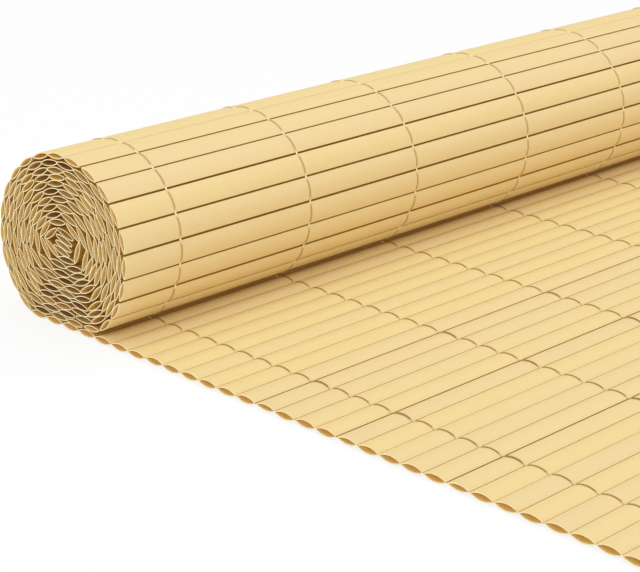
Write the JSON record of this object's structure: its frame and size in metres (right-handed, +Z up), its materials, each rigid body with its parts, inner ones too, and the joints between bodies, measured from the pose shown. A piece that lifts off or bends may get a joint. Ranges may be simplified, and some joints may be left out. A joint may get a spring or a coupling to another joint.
{
  "type": "slatted plastic screening mat",
  "caption": "Privacy screening mat of hollow lens-section plastic slats stitched side by side with thread, one end wound into a roll and the rest laid out flat.",
  "frame": {"origin": "middle of the bounding box's underside, on the floor that the mat lies on", "axes": "+Y along the slats, +X from the roll towards the free edge of the laid-out run, +Z up"},
  "size_m": [0.509, 1, 0.114],
  "materials": {
    "slat_plastic": "satin straw-coloured rigid PVC with a faint lengthwise grain",
    "stitch_thread": "straw-coloured twisted polyester thread"
  },
  "bodies": {
    "root": {"core_folds": "slat_plastic", "flat_run": "slat_plastic", "roll_turn_01": "slat_plastic", "roll_turn_02": "slat_plastic", "roll_turn_03": "slat_plastic", "roll_turn_04": "slat_plastic", "roll_turn_05": "slat_plastic", "roll_turn_06": "slat_plastic", "roll_turn_07": "slat_plastic", "roll_turn_08": "slat_plastic", "roll_turn_09": "slat_plastic", "roll_turn_10": "slat_plastic", "roll_turn_11": "slat_plastic", "stitch_row_01": "stitch_thread", "stitch_row_02": "stitch_thread", "stitch_row_03": "stitch_thread", "stitch_row_04": "stitch_thread", "stitch_row_05": "stitch_thread", "stitch_row_06": "stitch_thread", "stitch_row_07": "stitch_thread", "stitch_row_08": "stitch_thread", "stitch_row_09": "stitch_thread"}
  },
  "joints": []
}
